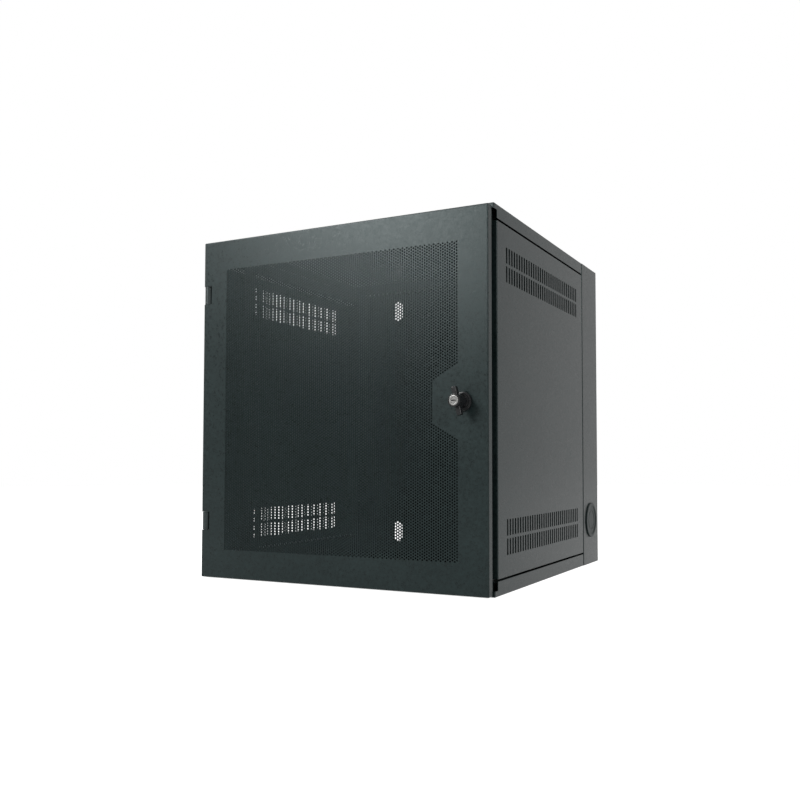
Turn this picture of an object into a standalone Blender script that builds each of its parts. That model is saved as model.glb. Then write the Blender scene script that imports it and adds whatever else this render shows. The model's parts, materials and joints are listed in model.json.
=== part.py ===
"""Wall-mount swing-out network rack cabinet, 13 rack units, in metres, +Z up.

The front faces -Y and the wall is at +Y. The origin is on the floor plane, in the
middle of the cabinet's footprint. Three sections carry each other: the shallow wall
section is fixed to the building, the cabinet swings out from it on the left, and the
perforated door swings on the cabinet's left front edge.
"""
import math

import bmesh
import bpy
from mathutils import Matrix, Vector

# Sheet metal and fits
SHEET = 0.0015               # door, covers and side panels
FRAME_SHEET = 0.002          # posts, rail supports, rails and wall section
FIT = 0.0003                 # gap between pieces that touch
RUN_FIT = 0.0006             # gap between faces that slide on each other
ROUND_SIDES = 32
SMALL_ROUND_SIDES = 20
MERGE = 0.000001             # points closer than this are one point
SHARP_ANGLE = math.radians(35)

# Rack space, to the 19-inch standard
RACK_UNITS = 13
UNIT = 0.04445
UNIT_HOLES = (0.00635, 0.022225, 0.0381)
RACK_OPENING = 0.4508        # clear width between the rails
RACK_HOLE_SPACING = 0.4651
RACK_HOLE = 0.0095           # square holes for cage nuts
RACK_END_SPACE = 0.041       # from the rack space to the cabinet's top and bottom
RAIL_FLANGE = 0.040
RAIL_WEB = 0.030
RAIL_SETBACK = 0.056         # from the cabinet's front to the rails' faces
RAIL_END_GAP = 0.010
RAIL_TRAVEL = 0.300
BOLT_SHANK = 0.006
BOLT_HEAD = 0.012
BOLT_HEAD_HEIGHT = 0.004

# Cabinet frame
SUPPORT_WIDTH = 0.0267
SUPPORT_HEIGHT = 0.045
POST_FLANGE = 0.030
POST_WEB = 0.035
PANEL_EDGE = 0.010           # folded edge of a side panel
BODY_DEPTH = 0.500
TOP_LIP = 0.024
BOTTOM_LIP = 0.025
LIP_GAP = 0.003              # shadow gap between a lip and a side panel
NECK = 0.013                 # side panels start this far behind the cabinet's front
CORNER_TAB = 0.010           # height of the lips where they pass the neck

# Side vents
VENT_SLOT_WIDTH = 0.0065
VENT_PITCH = 0.0125
VENT_SLOT_HEIGHT = 0.028
VENT_BAR = 0.005             # bar between the two rows
VENT_END_SPACE = 0.065       # from the cabinet's top or bottom to the vents
VENT_MARGIN = 0.040          # least plain strip before and behind the vents

# Wall section
WALL_DEPTH = 0.110
SEAM_GAP = 0.003
WALL_RETURN = 0.022
WALL_HOLE_SPACING = 0.425
WALL_HOLE_END_SPACE = 0.048
WALL_HOLE_WIDTH = 0.024
WALL_HOLE_LENGTH = 0.050
PLUG_HOLE = 0.070
PLUG_FLANGE = 0.003          # overlap of the plug's rim on the side
PLUG_RIM_HEIGHT = 0.0028
PLUG_FACE_HEIGHT = 0.0012
PLUG_WALL = 0.003
PLUG_SKIRT = 0.006
PLUG_HEIGHT = 0.0956
STUD_RADIUS = 0.003
STUD_LENGTH = 0.022
STUD_COLLAR = 0.006
STUD_COLLAR_LENGTH = 0.004
STUD_SIDE_SPACE = 0.0125     # from the right side to the stud's axis
STUD_HEIGHT = 0.150

# Swing hinges between the wall section and the cabinet
SWING_PLUG_SPACE = 0.010     # from a plug's rim to the hinge above it
SWING_KNUCKLE = 0.025        # height of one leaf
SWING_BARREL = 0.010
SWING_PIN = 0.006
SWING_LEAF = 0.0025
SWING_LEAF_LENGTH = 0.032
SWING_STANDOFF = 0.006       # from the side to the hinge axis

# Latch of the swing-out cabinet
LATCH_CASE_WIDTH = 0.028
LATCH_CASE_HEIGHT = 0.040
LATCH_CASE_WALL = 0.004
LATCH_TAB = 0.022
LATCH_BOLT_THICKNESS = 0.008
LATCH_BOLT_HEIGHT = 0.012
LATCH_REST_GAP = 0.0055      # from the drawn bolt to the wall section's return
LATCH_TRAVEL = 0.015
LATCH_STOP = 0.003
LATCH_PULL = 0.003
LATCH_PULL_HEIGHT = 0.026
LATCH_CLEAR = 0.0015

# Door
DOOR_DEPTH = 0.016
DOOR_GAP = 0.003
DOOR_INSET = 0.003           # door edge inside the cabinet's side
DOOR_END_INSET = 0.002
DOOR_RETURN = 0.018
BUMPER_RADIUS = 0.005
BUMPER_END_SPACE = 0.120

# Door hinges
HINGE_END_SPACE = 0.110
HINGE_HEIGHT = 0.034
HINGE_RADIUS = 0.008
HINGE_EAR_WALL = 0.0015      # metal left between the pin and the door's left edge
HINGE_PIN = 0.005
HINGE_ARM = 0.012
HINGE_FOOT = 0.027
HINGE_FOOT_THICKNESS = 0.0025
HINGE_NOTCH_MARGIN = 0.0005  # notch past the door's return
HINGE_EAR = 0.003
HINGE_PLATE = 0.002
HINGE_PLATE_WIDTH = 0.030

# Lock on the door
LOCK_HEIGHT = 0.324
LOCK_BASE = 0.033
LOCK_BASE_HEIGHT = 0.004
LOCK_COLLAR = 0.027
LOCK_COLLAR_HEIGHT = 0.010
LOCK_BARREL = 0.019
LOCK_BARREL_LENGTH = 0.012
LOCK_CHAMFER = 0.0012
LOCK_NUT = 0.028
LOCK_NUT_HEIGHT = 0.005
KNOB_BOSS = 0.022
KNOB_HEIGHT = 0.037          # knob's face above the door's face
KNOB_SHAFT = 0.010
WING_LENGTH = 0.049
WING_WIDTH = 0.010
WING_BACK = 0.017
WING_FRONT = 0.031
WING_LEAN = math.radians(13)
CORE = 0.017
CORE_SEAT = 0.014            # back of the core above the door's face
CORE_PROUD = 0.0005
KEY_SLOT_WIDTH = 0.0016
KEY_SLOT_HEIGHT = 0.009
KEY_SLOT_SINK = 0.006
CAM_WIDTH = 0.014
CAM_LENGTH = 0.032
CAM_TAIL = 0.009
CAM_THICKNESS = 0.003
CAM_GAP = 0.0015             # cam behind the post's flange
CAM_CLEAR = 0.0017           # drawn cam beside the post's flange
CAM_NUT = 0.018
CAM_NUT_HEIGHT = 0.004
SHAFT_END = 0.001

# Stations across the cabinet, from the rack space outwards
RAIL_IN = RACK_OPENING / 2
RAIL_OUT = RAIL_IN + RAIL_FLANGE
SUPPORT_IN = RAIL_OUT + FIT
SUPPORT_OUT = SUPPORT_IN + SUPPORT_WIDTH
POST_OUT = SUPPORT_OUT + FIT + FRAME_SHEET
POST_IN = POST_OUT - POST_FLANGE
PANEL_IN = POST_OUT + FIT
HALF_WIDTH = PANEL_IN + PANEL_EDGE
HEIGHT = RACK_UNITS * UNIT + 2 * RACK_END_SPACE

# Stations in depth, from the wall forwards
DEPTH = DOOR_DEPTH + DOOR_GAP + BODY_DEPTH + SEAM_GAP + WALL_DEPTH
WALL_BACK = DEPTH / 2
WALL_FRONT = WALL_BACK - WALL_DEPTH
BODY_BACK = WALL_FRONT - SEAM_GAP
BODY_FRONT = BODY_BACK - BODY_DEPTH
DOOR_BACK = BODY_FRONT - DOOR_GAP
DOOR_FRONT = DOOR_BACK - DOOR_DEPTH
POST_FRONT = BODY_FRONT + SHEET + FIT
POST_BACK = BODY_BACK - SHEET - FIT
RAIL_FACE = BODY_FRONT + RAIL_SETBACK
BOLT_Y = RAIL_FACE + (FRAME_SHEET + RAIL_WEB) / 2
SUPPORT_LOW = SHEET + FIT
BOLT_Z = SUPPORT_LOW + SUPPORT_HEIGHT / 2
DOOR_HALF = HALF_WIDTH - DOOR_INSET
SWING_HINGE_END_SPACE = PLUG_HEIGHT + PLUG_HOLE / 2 + PLUG_FLANGE + SWING_PLUG_SPACE + SWING_KNUCKLE
HINGE_INSET = SHEET + FIT + HINGE_EAR_WALL + FIT + HINGE_PIN / 2

# Joint axes
SWING_AXIS = Vector((-HALF_WIDTH - SWING_STANDOFF, WALL_FRONT - SEAM_GAP / 2, 0))
DOOR_AXIS = Vector((-DOOR_HALF + HINGE_INSET, DOOR_FRONT + HINGE_RADIUS, 0))
LOCK_AXIS = Vector((POST_IN - CAM_CLEAR - CAM_WIDTH / 2, DOOR_FRONT, LOCK_HEIGHT))

POWDER_COAT = ((0.045, 0.053, 0.053), 0.55, 0.0)
DARK_COAT = ((0.022, 0.025, 0.025), 0.6, 0.0)
ZINC = ((0.55, 0.56, 0.56), 0.35, 1.0)
BLACK_ZINC = ((0.03, 0.032, 0.032), 0.4, 0.8)
CHROME = ((0.72, 0.72, 0.70), 0.22, 1.0)
RUBBER = ((0.012, 0.012, 0.012), 0.8, 0.0)

X_AXIS = Vector((1, 0, 0))
Y_AXIS = Vector((0, 1, 0))
Z_AXIS = Vector((0, 0, 1))
SIDES = (("left", -1), ("right", 1))


def new_object(name, bm):
    bmesh.ops.recalc_face_normals(bm, faces=bm.faces)
    mesh = bpy.data.meshes.new(name)
    bm.to_mesh(mesh)
    bm.free()
    piece = bpy.data.objects.new(name, mesh)
    bpy.context.collection.objects.link(piece)
    return piece


def block(name, low, high):
    """A box between two corners."""
    return blocks(name, [(low, high)])


def blocks(name, boxes):
    """Separate boxes in one mesh, such as the cutters of a row of slots."""
    bm = bmesh.new()
    for low, high in boxes:
        low, high = Vector(low), Vector(high)
        place = Matrix.Translation((low + high) / 2) @ Matrix.Diagonal((*(high - low), 1))
        bmesh.ops.create_cube(bm, size=1, matrix=place)
    return new_object(name, bm)


def prism(name, outline, along, start, end):
    """An outline extruded along a world axis. Its points are in the other two axes."""
    index = "xyz".index(along)
    bm = bmesh.new()
    corners = []
    for first, second in outline:
        point = [first, second]
        point.insert(index, start)
        corners.append(bm.verts.new(point))
    face = bm.faces.new(corners)
    grown = bmesh.ops.extrude_face_region(bm, geom=[face])
    moved = [item for item in grown["geom"] if isinstance(item, bmesh.types.BMVert)]
    shift = Vector((0, 0, 0))
    shift[index] = end - start
    bmesh.ops.translate(bm, verts=moved, vec=shift)
    return new_object(name, bm)


def turned(name, profile, centre, axis, sides=ROUND_SIDES, closed=False):
    """A profile of (radius, distance along the axis) spun round a line."""
    bm = bmesh.new()
    points = [bm.verts.new((radius, 0, along)) for radius, along in profile]
    ends = points[1:] + points[:1] if closed else points[1:]
    edges = [bm.edges.new(pair) for pair in zip(points, ends)]
    bmesh.ops.spin(
        bm, geom=points + edges, cent=(0, 0, 0), axis=(0, 0, 1),
        angle=math.tau, steps=sides, use_merge=True)
    bmesh.ops.remove_doubles(bm, verts=bm.verts, dist=MERGE)
    turn = Z_AXIS.rotation_difference(axis).to_matrix().to_4x4()
    bmesh.ops.transform(bm, matrix=Matrix.Translation(centre) @ turn, verts=bm.verts)
    return new_object(name, bm)


def rod(name, centre, axis, radius, start, end, sides=ROUND_SIDES):
    profile = [(0, end), (radius, end), (radius, start), (0, start)]
    return turned(name, profile, centre, axis, sides)


def combine(piece, tool, operation):
    """Apply one Boolean and remove its tool."""
    change = piece.modifiers.new(tool.name, "BOOLEAN")
    change.operation = operation
    change.object = tool
    bpy.context.view_layer.objects.active = piece
    bpy.ops.object.modifier_apply(modifier=change.name)
    bpy.data.objects.remove(tool)
    return piece


def cut(piece, tool):
    return combine(piece, tool, "DIFFERENCE")


def fuse(piece, tool):
    return combine(piece, tool, "UNION")


def finish(piece, body, coat):
    """Give a piece its own material and hang it on its body's empty."""
    colour, roughness, metallic = coat
    material = bpy.data.materials.new(piece.name)
    material.use_nodes = True
    shader = material.node_tree.nodes["Principled BSDF"]
    shader.inputs["Base Color"].default_value = (*colour, 1)
    shader.inputs["Roughness"].default_value = roughness
    shader.inputs["Metallic"].default_value = metallic
    piece.data.materials.clear()
    piece.data.materials.append(material)
    piece.data.shade_smooth()
    piece.data.set_sharp_from_angle(angle=SHARP_ANGLE)
    piece.data.transform(Matrix.Translation(-body.matrix_world.translation))
    piece.parent = body
    return piece


def body_empty(name, place, parent=None):
    empty = bpy.data.objects.new(name, None)
    bpy.context.collection.objects.link(empty)
    empty.parent = parent
    origin = parent.matrix_world.translation if parent else Vector((0, 0, 0))
    empty.location = Vector(place) - origin
    bpy.context.view_layer.update()
    return empty


def oval(centre, width, length, sides=SMALL_ROUND_SIDES):
    """An upright slot outline with half-round ends."""
    radius = width / 2
    straight = (length - width) / 2
    outline = []
    for end, start in ((1, 0), (-1, math.pi)):
        for step in range(sides // 2 + 1):
            angle = start + math.pi * step / (sides // 2)
            x = centre[0] + radius * math.cos(angle)
            z = centre[1] + end * straight + radius * math.sin(angle)
            outline.append((x, z))
    return outline


def hexagon(centre, width):
    """Corners of a hexagon, by the distance across its corners."""
    angles = [math.tau * step / 6 for step in range(6)]
    return [(centre[0] + width / 2 * math.cos(angle), centre[1] + width / 2 * math.sin(angle))
            for angle in angles]


def both_ends(space):
    """Heights at one distance from the cabinet's top and from its bottom."""
    return (("upper", HEIGHT - space), ("lower", space))


def wall_section(body):
    back = block("wall_back_panel", (-HALF_WIDTH, WALL_BACK - FRAME_SHEET, 0),
                 (HALF_WIDTH, WALL_BACK, HEIGHT))
    for _, z in both_ends(WALL_HOLE_END_SPACE):
        for _, sign in SIDES:
            outline = oval((sign * WALL_HOLE_SPACING / 2, z), WALL_HOLE_WIDTH, WALL_HOLE_LENGTH)
            start = WALL_BACK - 2 * FRAME_SHEET
            cut(back, prism("hole", outline, "y", start, WALL_BACK + FRAME_SHEET))
    finish(back, body, POWDER_COAT)

    wall_inside = WALL_BACK - FRAME_SHEET - FIT
    flange_back = WALL_FRONT + FRAME_SHEET
    plug_y = (flange_back + wall_inside) / 2
    for side, sign in SIDES:
        outer = sign * HALF_WIDTH
        inner = sign * (HALF_WIDTH - FRAME_SHEET)
        return_edge = sign * (HALF_WIDTH - WALL_RETURN)
        outline = [(outer, WALL_FRONT), (outer, wall_inside), (inner, wall_inside),
                   (inner, flange_back), (return_edge, flange_back), (return_edge, WALL_FRONT)]
        wall = prism("wall_side_" + side, outline, "z", 0, HEIGHT)
        hole_place = (outer, plug_y, PLUG_HEIGHT)
        cut(wall, rod("hole", hole_place, X_AXIS, PLUG_HOLE / 2, -WALL_RETURN / 2, WALL_RETURN / 2))
        finish(wall, body, POWDER_COAT)
        cable_plug("cable_plug_" + side, hole_place, X_AXIS * sign, body)

    plate_half = HALF_WIDTH - FRAME_SHEET - FIT
    flange_half = HALF_WIDTH - WALL_RETURN - FIT
    for name, outer, inward in (("wall_top_panel", HEIGHT, -1), ("wall_bottom_panel", 0, 1)):
        heights = sorted((outer, outer + inward * FRAME_SHEET))
        panel = block(name, (-plate_half, flange_back + FIT, heights[0]),
                      (plate_half, wall_inside, heights[1]))
        fuse(panel, block("tongue", (-flange_half, WALL_FRONT, heights[0]),
                          (flange_half, flange_back + WALL_RETURN, heights[1])))
        heights = sorted((outer, outer + inward * WALL_RETURN))
        flange = block("flange", (-flange_half, WALL_FRONT, heights[0]),
                       (flange_half, flange_back, heights[1]))
        finish(fuse(panel, flange), body, POWDER_COAT)

    stud_seat = Vector((HALF_WIDTH - STUD_SIDE_SPACE, wall_inside, STUD_HEIGHT))
    profile = [(0, STUD_LENGTH), (STUD_RADIUS, STUD_LENGTH), (STUD_RADIUS, STUD_COLLAR_LENGTH),
               (STUD_COLLAR, STUD_COLLAR_LENGTH), (STUD_COLLAR, 0), (0, 0)]
    stud = turned("ground_stud", profile, stud_seat, -Y_AXIS, SMALL_ROUND_SIDES)
    finish(stud, body, ZINC)


def cable_plug(name, place, outwards, body):
    barrel = PLUG_HOLE / 2 - FIT
    inner = barrel - PLUG_WALL
    rim = PLUG_HOLE / 2 + PLUG_FLANGE
    skirt = -FRAME_SHEET - PLUG_SKIRT
    face_back = PLUG_FACE_HEIGHT - FRAME_SHEET
    step = PLUG_RIM_HEIGHT - PLUG_FACE_HEIGHT
    profile = [
        (0, PLUG_FACE_HEIGHT), (inner - step, PLUG_FACE_HEIGHT), (inner, PLUG_RIM_HEIGHT),
        (rim - step / 2, PLUG_RIM_HEIGHT), (rim, PLUG_RIM_HEIGHT - step / 2), (rim, FIT),
        (barrel, FIT), (barrel, skirt), (inner, skirt), (inner, face_back), (0, face_back)]
    finish(turned(name, profile, Vector(place), outwards), body, DARK_COAT)


def swing_hinges(wall_body, cabinet_body):
    leaf_in = -HALF_WIDTH - FIT
    leaf_out = leaf_in - SWING_LEAF
    for end, z in both_ends(SWING_HINGE_END_SPACE):
        for owner, body, away, low in (("wall", wall_body, 1, -SWING_KNUCKLE),
                                       ("cabinet", cabinet_body, -1, RUN_FIT)):
            high = low + SWING_KNUCKLE
            reach = sorted((SWING_AXIS.y, SWING_AXIS.y + away * SWING_LEAF_LENGTH))
            leaf = block("swing_hinge_" + owner + "_leaf_" + end,
                         (leaf_out, reach[0], z + low), (leaf_in, reach[1], z + high))
            axis_point = SWING_AXIS + Z_AXIS * z
            fuse(leaf, rod("barrel", axis_point, Z_AXIS, SWING_BARREL / 2, low, high, SMALL_ROUND_SIDES))
            bore = SWING_PIN / 2 + FIT
            cut(leaf, rod("bore", axis_point, Z_AXIS, bore, -2 * SWING_KNUCKLE, 2 * SWING_KNUCKLE,
                          SMALL_ROUND_SIDES))
            finish(leaf, body, POWDER_COAT)
        pin = rod("swing_hinge_pin_" + end, SWING_AXIS + Z_AXIS * z, Z_AXIS, SWING_PIN / 2,
                  -SWING_KNUCKLE, SWING_KNUCKLE, SMALL_ROUND_SIDES)
        finish(pin, wall_body, ZINC)


def covers(body):
    """Top cover and bottom pan: trays whose lips frame the side panels."""
    for name, outer, inward, lip in (("top_cover", HEIGHT, -1, TOP_LIP), ("bottom_pan", 0, 1, BOTTOM_LIP)):
        lip_edge = outer + inward * lip
        heights = sorted((outer, lip_edge))
        tray = block(name, (-HALF_WIDTH, BODY_FRONT, heights[0]), (HALF_WIDTH, BODY_BACK, heights[1]))
        heights = sorted((outer + inward * SHEET, lip_edge + inward * SHEET))
        hollow = block("hollow", (-HALF_WIDTH + SHEET, BODY_FRONT + SHEET, heights[0]),
                       (HALF_WIDTH - SHEET, BODY_BACK - SHEET, heights[1]))
        cut(tray, hollow)
        heights = sorted((outer + inward * CORNER_TAB, lip_edge + inward * SHEET))
        for _, sign in SIDES:
            reach = sorted((sign * POST_OUT, sign * (HALF_WIDTH + SHEET)))
            relief = block("relief", (reach[0], BODY_FRONT - SHEET, heights[0]),
                           (reach[1], BODY_FRONT + NECK, heights[1]))
            cut(tray, relief)
        finish(tray, body, POWDER_COAT)


def posts(body):
    for end, face, inward in (("front", POST_FRONT, 1), ("rear", POST_BACK, -1)):
        for side, sign in SIDES:
            outer = sign * POST_OUT
            web_in = sign * (POST_OUT - FRAME_SHEET)
            edge = sign * POST_IN
            flange_back = face + inward * FRAME_SHEET
            web_end = face + inward * POST_WEB
            outline = [(edge, face), (outer, face), (outer, web_end), (web_in, web_end),
                       (web_in, flange_back), (edge, flange_back)]
            post = prism(end + "_post_" + side, outline, "z", SUPPORT_LOW, HEIGHT - SUPPORT_LOW)
            finish(post, body, DARK_COAT)


def rail_supports(body):
    """Channels from post to post, slotted so that the rails can move in depth."""
    start = POST_FRONT + FRAME_SHEET + FIT
    stop = POST_BACK - FRAME_SHEET - FIT
    slot_half = BOLT_SHANK / 2 + RUN_FIT
    for side, sign in SIDES:
        for end, low in (("upper", HEIGHT - SUPPORT_LOW - SUPPORT_HEIGHT), ("lower", SUPPORT_LOW)):
            high = low + SUPPORT_HEIGHT
            inner = sign * SUPPORT_IN
            outer = sign * SUPPORT_OUT
            web_out = sign * (SUPPORT_IN + FRAME_SHEET)
            outline = [(inner, low), (outer, low), (outer, low + FRAME_SHEET),
                       (web_out, low + FRAME_SHEET), (web_out, high - FRAME_SHEET),
                       (outer, high - FRAME_SHEET), (outer, high), (inner, high)]
            support = prism("rail_support_" + side + "_" + end, outline, "y", start, stop)
            middle = (low + high) / 2
            reach = sorted((inner - sign * FRAME_SHEET, web_out + sign * FRAME_SHEET))
            slot = block("slot", (reach[0], BOLT_Y - slot_half, middle - slot_half),
                         (reach[1], BOLT_Y + RAIL_TRAVEL + slot_half, middle + slot_half))
            finish(cut(support, slot), body, DARK_COAT)


def side_panels(body):
    low = BOTTOM_LIP + LIP_GAP
    high = HEIGHT - TOP_LIP - LIP_GAP
    front = BODY_FRONT + NECK
    run = BODY_BACK - front - 2 * VENT_MARGIN - VENT_SLOT_WIDTH
    gaps = int(run / VENT_PITCH)
    first = (front + BODY_BACK - gaps * VENT_PITCH) / 2
    rows = []
    for row in (0, 1):
        near = VENT_END_SPACE + row * (VENT_SLOT_HEIGHT + VENT_BAR)
        rows.append((near, near + VENT_SLOT_HEIGHT))
        rows.append((HEIGHT - near - VENT_SLOT_HEIGHT, HEIGHT - near))
    for side, sign in SIDES:
        reach = sorted((sign * PANEL_IN, sign * HALF_WIDTH))
        panel = block("side_panel_" + side, (reach[0], front, low), (reach[1], BODY_BACK, high))
        reach = sorted((sign * (PANEL_IN - SHEET), sign * (HALF_WIDTH - SHEET)))
        cut(panel, block("hollow", (reach[0], front + SHEET, low + SHEET),
                         (reach[1], BODY_BACK - SHEET, high - SHEET)))
        reach = sorted((sign * (HALF_WIDTH - 2 * SHEET), sign * (HALF_WIDTH + SHEET)))
        slots = []
        for bottom, top in rows:
            for step in range(gaps + 1):
                y = first + step * VENT_PITCH
                slots.append(((reach[0], y - VENT_SLOT_WIDTH / 2, bottom),
                              (reach[1], y + VENT_SLOT_WIDTH / 2, top)))
        finish(cut(panel, blocks("slots", slots)), body, POWDER_COAT)


def rails(bodies):
    low = SHEET + RAIL_END_GAP
    flange_back = RAIL_FACE + FRAME_SHEET
    for side, sign in SIDES:
        outer = sign * RAIL_OUT
        edge = sign * RAIL_IN
        web_in = sign * (RAIL_OUT - FRAME_SHEET)
        web_end = RAIL_FACE + RAIL_WEB
        outline = [(edge, RAIL_FACE), (outer, RAIL_FACE), (outer, web_end), (web_in, web_end),
                   (web_in, flange_back), (edge, flange_back)]
        rail = prism("rack_rail_" + side, outline, "z", low, HEIGHT - low)
        centre = sign * RACK_HOLE_SPACING / 2
        holes = []
        for unit in range(RACK_UNITS):
            for offset in UNIT_HOLES:
                z = RACK_END_SPACE + unit * UNIT + offset
                holes.append(((centre - RACK_HOLE / 2, RAIL_FACE - FRAME_SHEET, z - RACK_HOLE / 2),
                              (centre + RACK_HOLE / 2, flange_back + FRAME_SHEET, z + RACK_HOLE / 2)))
        cut(rail, blocks("holes", holes))
        for end, z in both_ends(BOLT_Z):
            place = Vector((outer, BOLT_Y, z))
            hole = rod("hole", place, X_AXIS, BOLT_SHANK / 2 + FIT, -2 * FRAME_SHEET, 2 * FRAME_SHEET,
                       SMALL_ROUND_SIDES)
            cut(rail, hole)
            rail_bolt("rail_bolt_" + side + "_" + end, place, X_AXIS * sign, bodies[side])
        finish(rail, bodies[side], BLACK_ZINC)


def rail_bolt(name, place, outwards, body):
    """Bolt with its nut: the head inside the rail and the nut inside the support."""
    head_seat = -FRAME_SHEET - FIT
    nut_seat = FIT + FRAME_SHEET + FIT
    shank = BOLT_SHANK / 2
    head = BOLT_HEAD / 2
    profile = [(0, nut_seat + BOLT_HEAD_HEIGHT), (head, nut_seat + BOLT_HEAD_HEIGHT), (head, nut_seat),
               (shank, nut_seat), (shank, head_seat), (head, head_seat),
               (head, head_seat - BOLT_HEAD_HEIGHT), (0, head_seat - BOLT_HEAD_HEIGHT)]
    finish(turned(name, profile, place, outwards, SMALL_ROUND_SIDES), body, ZINC)


def door_panel(body):
    low = DOOR_END_INSET
    high = HEIGHT - DOOR_END_INSET
    panel = block("door_panel", (-DOOR_HALF, DOOR_FRONT, low), (DOOR_HALF, DOOR_BACK, high))
    cut(panel, block("hollow", (-DOOR_HALF + SHEET, DOOR_FRONT + SHEET, low + SHEET),
                     (DOOR_HALF - SHEET, DOOR_BACK - SHEET, high - SHEET)))
    cut(panel, block("mouth", (-DOOR_HALF + DOOR_RETURN, DOOR_BACK - 2 * SHEET, low + DOOR_RETURN),
                     (DOOR_HALF - DOOR_RETURN, DOOR_BACK + SHEET, high - DOOR_RETURN)))
    notch_half = HINGE_HEIGHT / 2 + RUN_FIT
    for _, z in both_ends(HINGE_END_SPACE):
        cut(panel, block("notch", (-DOOR_HALF - SHEET, DOOR_FRONT - SHEET, z - notch_half),
                         (hinge_notch_edge(), DOOR_BACK + SHEET, z + notch_half)))
    hole = rod("hole", LOCK_AXIS, Y_AXIS, LOCK_BARREL / 2 + FIT, -2 * SHEET, 2 * SHEET)
    finish(cut(panel, hole), body, POWDER_COAT)


def hinge_notch_edge():
    return -DOOR_HALF + DOOR_RETURN + HINGE_NOTCH_MARGIN


def door_hinges(cabinet_body, door_body):
    bore = HINGE_PIN / 2 + FIT
    half = HINGE_HEIGHT / 2
    foot_back = POST_FRONT - FIT
    inside = DOOR_FRONT + SHEET + FIT
    ear_back = DOOR_BACK - SHEET - FIT
    plate_in = hinge_notch_edge() + FIT
    ear_low = half + RUN_FIT
    ear_high = ear_low + HINGE_EAR
    for end, z in both_ends(HINGE_END_SPACE):
        axis_point = DOOR_AXIS + Z_AXIS * z
        hinge = rod("door_hinge_block_" + end, axis_point, Z_AXIS, HINGE_RADIUS, -half, half)
        arm_left = DOOR_AXIS.x - HINGE_ARM / 2
        fuse(hinge, block("arm", (arm_left, DOOR_AXIS.y, z - half),
                          (arm_left + HINGE_ARM, foot_back, z + half)))
        fuse(hinge, block("foot", (arm_left + HINGE_ARM / 2, foot_back - HINGE_FOOT_THICKNESS, z - half),
                          (-POST_OUT + HINGE_FOOT, foot_back, z + half)))
        cut(hinge, rod("bore", axis_point, Z_AXIS, bore, -2 * half, 2 * half, SMALL_ROUND_SIDES))
        finish(hinge, cabinet_body, POWDER_COAT)

        bracket = block("door_hinge_bracket_" + end, (plate_in, inside, z - ear_high),
                        (plate_in + HINGE_PLATE_WIDTH, inside + HINGE_PLATE, z + ear_high))
        for low, high in ((ear_low, ear_high), (-ear_high, -ear_low)):
            fuse(bracket, block("ear", (-DOOR_HALF + SHEET + FIT, inside, z + low),
                                (plate_in + HINGE_PLATE, ear_back, z + high)))
        cut(bracket, rod("bore", axis_point, Z_AXIS, bore, -2 * ear_high, 2 * ear_high, SMALL_ROUND_SIDES))
        finish(bracket, door_body, DARK_COAT)
        pin = rod("door_hinge_pin_" + end, axis_point, Z_AXIS, HINGE_PIN / 2, -ear_high, ear_high,
                  SMALL_ROUND_SIDES)
        finish(pin, door_body, ZINC)


def door_bumpers(body):
    for end, z in both_ends(BUMPER_END_SPACE):
        place = Vector((POST_OUT - BUMPER_RADIUS, POST_FRONT - FIT, z))
        length = POST_FRONT - DOOR_BACK - 2 * FIT
        bumper = rod("door_bumper_" + end, place, -Y_AXIS, BUMPER_RADIUS, 0, length, SMALL_ROUND_SIDES)
        finish(bumper, body, RUBBER)


def lock_housing(body):
    """Escutcheon with a threaded barrel through the door, held by a nut inside."""
    bore = KNOB_SHAFT / 2 + FIT
    base = LOCK_BASE / 2
    collar = LOCK_COLLAR / 2
    barrel = LOCK_BARREL / 2
    profile = [
        (bore, LOCK_COLLAR_HEIGHT), (collar - LOCK_CHAMFER, LOCK_COLLAR_HEIGHT),
        (collar, LOCK_COLLAR_HEIGHT - LOCK_CHAMFER), (collar, LOCK_BASE_HEIGHT),
        (base - LOCK_CHAMFER, LOCK_BASE_HEIGHT), (base, LOCK_BASE_HEIGHT - LOCK_CHAMFER), (base, FIT),
        (barrel, FIT), (barrel, -LOCK_BARREL_LENGTH), (bore, -LOCK_BARREL_LENGTH)]
    housing = turned("lock_housing", profile, LOCK_AXIS, -Y_AXIS, closed=True)
    finish(housing, body, BLACK_ZINC)
    seat = DOOR_FRONT + SHEET + FIT
    nut = prism("lock_nut", hexagon((LOCK_AXIS.x, LOCK_AXIS.z), LOCK_NUT), "y", seat, seat + LOCK_NUT_HEIGHT)
    cut(nut, rod("bore", LOCK_AXIS, Y_AXIS, barrel + FIT, -LOCK_NUT, LOCK_NUT))
    finish(nut, body, ZINC)


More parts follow.
